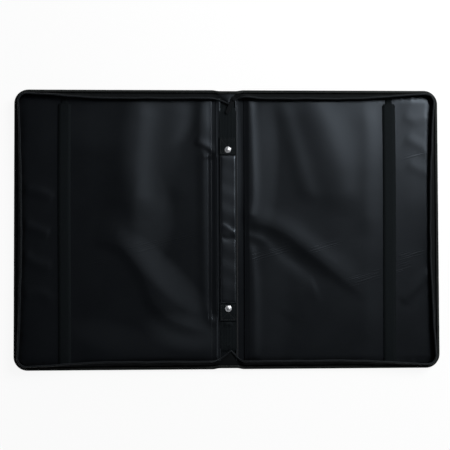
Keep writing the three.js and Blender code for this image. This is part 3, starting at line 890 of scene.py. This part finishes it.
def build_patch(name, end):
    """A webbing square sewn down by a box and a cross of stitches that pull its face in."""
    (_, y0, base), (half, y1, face) = box_mm(f"handle_patch_{name}")
    middle, reach = (y0 + y1) / 2, (y1 - y0) / 2
    x, y = grid(np.linspace(-half, half, 64), np.linspace(y0, y1, 64))
    u, v = x / half, (y - middle) / reach
    box = np.exp(-((np.maximum(np.abs(u), np.abs(v)) - 0.82) / 0.07) ** 2)
    cross = np.exp(-((np.abs(u) - np.abs(v)) / 0.09) ** 2) * (np.maximum(np.abs(u), np.abs(v)) < 0.82)
    cords = 0.2 * np.abs(np.cos(np.pi * x / 2.5)) ** 0.7
    edge = smooth((half - np.abs(x)) / 0.8) * smooth((reach - np.abs(y - middle)) / 0.8)
    top = face - 0.35 + (cords + 0.35) * edge - 0.35 * np.maximum(box, cross)
    item = slab(f"handle_patch_{name}_square", x, y, top, base)
    dress(item, "webbing", "webbing", f"handle_patch_{name}")
    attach(item, "spine")

    a, b = 0.82 * half, 0.82 * reach
    path = [(-a, -b), (a, -b), (a, b), (-a, b), (-a, -b), (a, b), (a, -b), (-a, b)]
    path = np.array([(px, middle + py, face - 0.3) for px, py in path])
    points, headings = [], []
    for start, step in zip(path, np.diff(path, axis=0)):
        count = max(2, int(np.linalg.norm(step) / 2.6))
        run = start + step * ((np.arange(count) + 0.5) / count)[:, None]
        run = run[np.hypot(run[:, 0], run[:, 1] - end * RIVET_Y) > RIVET_CLEARANCE]
        points.extend(run)
        headings.extend([step] * len(run))
    thread = stitches(f"handle_patch_{name}_stitches", np.array(points), np.array(headings), 2.1, 0.3)
    dress(thread, "thread", "webbing")
    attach(thread, "spine")


def build_rivet(name, end):
    """A domed rivet head, turned from a flange, a small step and a shallow dome, on a plain shank."""
    low, high = box_mm(f"rivet_{name}")
    reach = (high[0] - low[0]) / 2
    centre_y = (high[1] + low[1]) / 2
    base, top = high[2] - 2.8, high[2]
    dome = np.linspace(0, np.pi / 2, 14)
    radius = np.concatenate([[1.6, 1.6, reach - 0.2, reach, reach - 0.15, 0.90 * reach],
                             0.86 * reach * np.cos(dome[1:-1])])
    height = np.concatenate([[low[2], base, base, base + 0.3, base + 0.55, base + 0.6],
                             base + 0.6 + (top - base - 0.6) * np.sin(dome[1:-1])])
    turn = np.arange(48) * 2 * np.pi / 48
    x, y = radius[:, None] * np.cos(turn), centre_y + radius[:, None] * np.sin(turn)
    rings = np.stack([x, y, height[:, None] + 0 * x], -1)
    item = tube(f"rivet_{name}_head", rings, 1, False)
    dress(item, "nickel", "rivet", f"rivet_{name}")
    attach(item, "spine")


def build_gusset(name, end):
    """The folded piece of zip tape inside the V: a triangle whose sides follow the two coils."""
    apex = (V_TOP_APEX if end > 0 else V_BOTTOM_APEX) + 1.0
    wide = np.abs(box_mm(f"zip_end_tape_{name}")[:, 1]).max()
    across, share = grid(np.linspace(-1, 1, 40), np.linspace(0.02, 1, 30))
    half = V_HALF_WIDTH * 2 / np.pi * np.arcsin(share * 0.8)
    x = across * half + (V_TOP_SHIFT if end > 0 else V_BOTTOM_SHIFT) * (1 - share)
    y = end * (apex + (wide - apex) * share)
    rise = 0.02 * ((apex + wide) / 2 * end - y - x) + 0.5 * np.cos(across * np.pi / 2)
    top = V_BASE + 0.9 + np.clip(rise, -1.6, 2.0)
    if end < 0:
        x, y, top = x[:, ::-1], y[:, ::-1], top[:, ::-1]
    item = slab(f"zip_gusset_{name}", x, y, top, top - 0.6)
    dress(item, "lining" if end > 0 else "tape", "zip_tape", f"zip_end_tape_{name}")
    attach(item, "spine")


def build_handle():
    """The carrying handle: webbing with rolled sides, narrower where the hand holds it."""
    (_, _, base), (half, end, top) = box_mm("carry_handle")
    y = np.linspace(-end, end, 200)
    width = half - 2.5 * smooth((74 - np.abs(y)) / 14)
    width = width - 1.0 * smooth((np.abs(y) - end + 2) / 2)
    count = 40
    turn = np.arange(count) * 2 * np.pi / count
    round_x = np.sign(np.cos(turn)) * np.abs(np.cos(turn)) ** 0.35
    round_z = np.sign(np.sin(turn)) * np.abs(np.sin(turn)) ** 0.7
    middle, thick = (top + base) / 2, (top - base) / 2
    x = width[:, None] * round_x[None, :]
    cords = 0.12 * np.abs(np.cos(np.pi * x / 2.5))
    z = middle + (thick - 0.12 + cords) * round_z[None, :]
    rings = np.stack([x, y[:, None] + 0 * x, z], -1)
    item = tube("carry_handle_webbing", rings, 1, True)
    dress(item, "webbing", "webbing", "carry_handle")
    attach(item, "spine")
    rows = []
    for side in (-1, 1):
        run = np.arange(-end + 4, end - 3, 3.6)
        offset = np.interp(run, y, width) - 2.2
        rows.append(np.stack([side * offset, run, np.full_like(run, base + 0.05)], -1))
    points = np.concatenate(rows)
    headings = np.tile([0.0, 1.0, 0.0], (len(points), 1))
    thread = stitches("carry_handle_stitches", points, headings, 2.8, 0.3)
    dress(thread, "thread", "webbing")
    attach(thread, "spine")


# The stage

CAMERA_TARGET = Vector((-0.00465, 0.00693, 0.0))
CAMERA_BACK = Vector((-0.0439, -0.0339, 1.0))
CAMERA_DISTANCE = 1.8
CAMERA_ROLL = -0.00334
CAMERA_LENS = 87.25


def add_camera():
    """A long lens almost straight above, fitted to the four corners of the case in the photo."""
    back = CAMERA_BACK.normalized()
    right = Vector((0, 1, 0)).cross(back).normalized()
    up = back.cross(right)
    c, s = math.cos(CAMERA_ROLL), math.sin(CAMERA_ROLL)
    right, up = c * right + s * up, c * up - s * right
    data = bpy.data.cameras.new("camera")
    data.lens = CAMERA_LENS
    data.sensor_width = 36.0
    camera = placed("camera", data)
    turn = Matrix((right, up, back)).transposed().to_4x4()
    camera.matrix_world = Matrix.Translation(CAMERA_TARGET + back * CAMERA_DISTANCE) @ turn
    bpy.context.scene.camera = camera


def add_light(name, place, target, size, power):
    """A square soft box that faces its target."""
    data = bpy.data.lights.new(name, "AREA")
    data.shape = "RECTANGLE"
    data.size = data.size_y = size
    data.energy = power
    light = placed(name, data)
    light.location = place
    aim = Vector(target) - Vector(place)
    light.rotation_euler = aim.to_track_quat("-Z", "Y").to_euler()


def add_world():
    """A studio whose walls are pale and whose ceiling is dim."""
    world = bpy.data.worlds.new("studio")
    world.use_nodes = True
    bpy.context.scene.world = world
    tree = world.node_tree
    background = tree.nodes["Background"]
    kinds = ("TexCoord", "SeparateXYZ", "ValToRGB")
    spot, split, ramp = [tree.nodes.new("ShaderNode" + kind) for kind in kinds]
    tree.links.new(spot.outputs["Generated"], split.inputs[0])
    tree.links.new(split.outputs[2], ramp.inputs[0])
    tree.links.new(ramp.outputs[0], background.inputs[0])
    walls, ceiling = ramp.color_ramp.elements
    walls.position, walls.color = 0.05, (0.86, 0.87, 0.88, 1.0)
    ceiling.position, ceiling.color = 0.62, (0.035, 0.037, 0.042, 1.0)


def add_floor():
    """A pale floor that reads as white to the camera and keeps a faint shadow under the case."""
    side = 9000.0
    corners = [(-side, -side, -0.05), (side, -side, -0.05), (side, side, -0.05), (-side, side, -0.05)]
    floor = new_object("floor", corners, [[0, 1, 2, 3]])
    shader = Shader("pale_floor")
    shader.gloss(0.9)
    shader.paint((0.86, 0.86, 0.86, 1.0))
    glow = shader.node("Emission", {}, {0: (1.0, 1.0, 1.0, 1.0), 1: 1.03})
    seen = 0.0
    for ray in ("Camera", "Glossy", "Transmission"):
        seen = shader.math("MAXIMUM", seen, shader.node("LightPath", output=f"Is {ray} Ray"))
    lit = Value(shader, shader.surface.outputs[0])
    mix = shader.node("MixShader", {}, {0: seen * 0.88, 1: lit, 2: glow})
    shader.feed(shader.tree.nodes["Material Output"].inputs[0], mix)
    floor.data.materials.append(shader.material)


# Settings that a user would change

def colour(name, description, default):
    return bpy.props.FloatVectorProperty(
        name=name, description=description, default=default, subtype="COLOR", size=3)


class PortfolioColours(bpy.types.PropertyGroup):
    """The colours of the case's cloths and fittings."""

    lining_dark: colour("Lining, dark", "Darker tone of the coated lining", (0.0021, 0.0022, 0.0025))
    lining_light: colour("Lining, light", "Lighter tone of the coated lining", (0.0034, 0.0038, 0.0042))
    nylon: colour("Outer cloth", "Woven cloth on the outside", (0.010, 0.0105, 0.012))
    webbing: colour("Webbing", "Straps, spine webbing and handle", (0.0034, 0.0041, 0.0046))
    binding: colour("Binding", "Tape round the edge", (0.0130, 0.0142, 0.0122))
    zip_tape: colour("Zip tape", "Woven tape that carries the coil", (0.0045, 0.0050, 0.0054))
    coil: colour("Zip coil", "Moulded coil", (0.0070, 0.0078, 0.0090))
    nickel: colour("Rivets", "Nickel plate", (0.80, 0.81, 0.83))
    enamel: colour("Slider", "Black enamel", (0.0035, 0.0036, 0.004))
    thread: colour("Thread", "Sewing thread", (0.02, 0.021, 0.022))
    board: colour("Board", "Grey board in the covers", (0.09, 0.085, 0.075))


def length(name, description, default, least, most):
    return bpy.props.FloatProperty(
        name=name, description=description, default=default, min=least, max=most, unit="LENGTH")


class PortfolioSizes(bpy.types.PropertyGroup):
    """Sizes that can be set apart from the frame's."""

    strap_width: length("Strap width", "Width of the retaining straps", 0.021, 0.015, 0.030)
    coil_pitch: length("Coil pitch", "Length of one turn of the zip coil", 0.0024, 0.0015, 0.0040)
    stitch_length: length("Stitch length", "Length of the binding's stitches", 0.003, 0.0015, 0.0036)


SIDES = ((-1, "left"), (1, "right"))
ENDS = (("top", 1), ("bottom", -1))


class PORTFOLIO_OT_stage(bpy.types.Operator):
    """Sets the camera, lights, world and floor, and makes the materials"""

    bl_idname = "portfolio.stage"
    bl_label = "Stage and materials"

    def execute(self, context):
        add_camera()
        add_world()
        add_floor()
        add_light("key", (0.95, 0.80, 1.05), (0.05, 0.02, 0.0), 0.8, 26.0)
        context.scene.view_settings.view_transform = "Standard"
        make_materials(context.scene.portfolio_colours)
        return {"FINISHED"}


class PORTFOLIO_OT_linings(bpy.types.Operator):
    """Lays a folded, creased lining sheet in each cover"""

    bl_idname = "portfolio.linings"
    bl_label = "Linings"

    def execute(self, context):
        for side, name in SIDES:
            build_lining(side, name)
        return {"FINISHED"}


class PORTFOLIO_OT_rims(bpy.types.Operator):
    """Runs the binding, zip tape and coil round each cover"""

    bl_idname = "portfolio.rims"
    bl_label = "Bindings and zips"

    def execute(self, context):
        sizes = context.scene.portfolio_sizes
        for side, name in SIDES:
            build_binding(side, name, sizes.stitch_length / MM)
            build_zip_wall(side, name)
            build_coil(side, name, sizes.coil_pitch / MM)
        return {"FINISHED"}


class PORTFOLIO_OT_straps(bpy.types.Operator):
    """Lays a retaining strap across each page"""

    bl_idname = "portfolio.straps"
    bl_label = "Straps"

    def execute(self, context):
        for side, name in SIDES:
            build_straps(side, name, context.scene.portfolio_sizes.strap_width / MM / 2)
        return {"FINISHED"}


class PORTFOLIO_OT_outside(bpy.types.Operator):
    """Covers the outside in woven cloth and adds the handle"""

    bl_idname = "portfolio.outside"
    bl_label = "Outside cloth and handle"

    def execute(self, context):
        for side, name in SIDES:
            build_outer_cloth(side, name)
        build_handle()
        return {"FINISHED"}


class PORTFOLIO_OT_spine(bpy.types.Operator):
    """Builds the spine's webbing, pad, stitched patches, rivets and gussets"""

    bl_idname = "portfolio.spine"
    bl_label = "Spine"

    def execute(self, context):
        build_webbing()
        build_pad()
        for name, end in ENDS:
            build_patch(name, end)
            build_rivet(name, end)
            build_gusset(name, end)
        return {"FINISHED"}


class PORTFOLIO_OT_hardware(bpy.types.Operator):
    """Gives the carried-over solids their finishes"""

    bl_idname = "portfolio.hardware"
    bl_label = "Boards, caps and slider"

    def execute(self, context):
        finishes = {
            "board": ("left_board", "right_board", "spine_board"),
            "nickel": ("rivet_cap_top", "rivet_cap_bottom"),
            "enamel": ("zip_slider", "zip_puller"),
        }
        for material, nodes in finishes.items():
            for node in nodes:
                for slot in frame["nodes"][node].material_slots:
                    slot.material = MATERIALS[material]
        return {"FINISHED"}


class PORTFOLIO_PT_panel(bpy.types.Panel):
    """Lists the portfolio's build steps, sizes and colours."""

    bl_idname = "PORTFOLIO_PT_panel"
    bl_label = "Art portfolio"
    bl_space_type = "VIEW_3D"
    bl_region_type = "UI"
    bl_category = "Portfolio"

    def draw(self, context):
        for step in STEPS:
            self.layout.operator(step.bl_idname)
        for key in PortfolioSizes.__annotations__:
            self.layout.prop(context.scene.portfolio_sizes, key)
        for key in PortfolioColours.__annotations__:
            self.layout.prop(context.scene.portfolio_colours, key)


STEPS = (
    PORTFOLIO_OT_stage,
    PORTFOLIO_OT_linings,
    PORTFOLIO_OT_rims,
    PORTFOLIO_OT_straps,
    PORTFOLIO_OT_outside,
    PORTFOLIO_OT_spine,
    PORTFOLIO_OT_hardware,
)
CLASSES = (PortfolioColours, PortfolioSizes, *STEPS, PORTFOLIO_PT_panel)


def register():
    for kind in CLASSES:
        bpy.utils.register_class(kind)
    bpy.types.Scene.portfolio_colours = bpy.props.PointerProperty(type=PortfolioColours)
    bpy.types.Scene.portfolio_sizes = bpy.props.PointerProperty(type=PortfolioSizes)


def unregister():
    del bpy.types.Scene.portfolio_sizes
    del bpy.types.Scene.portfolio_colours
    for kind in reversed(CLASSES):
        bpy.utils.unregister_class(kind)


def main():
    register()
    bpy.ops.portfolio.stage()
    bpy.ops.portfolio.linings()
    bpy.ops.portfolio.rims()
    bpy.ops.portfolio.straps()
    bpy.ops.portfolio.outside()
    bpy.ops.portfolio.spine()
    bpy.ops.portfolio.hardware()
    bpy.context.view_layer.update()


if __name__ == "__main__":
    main()
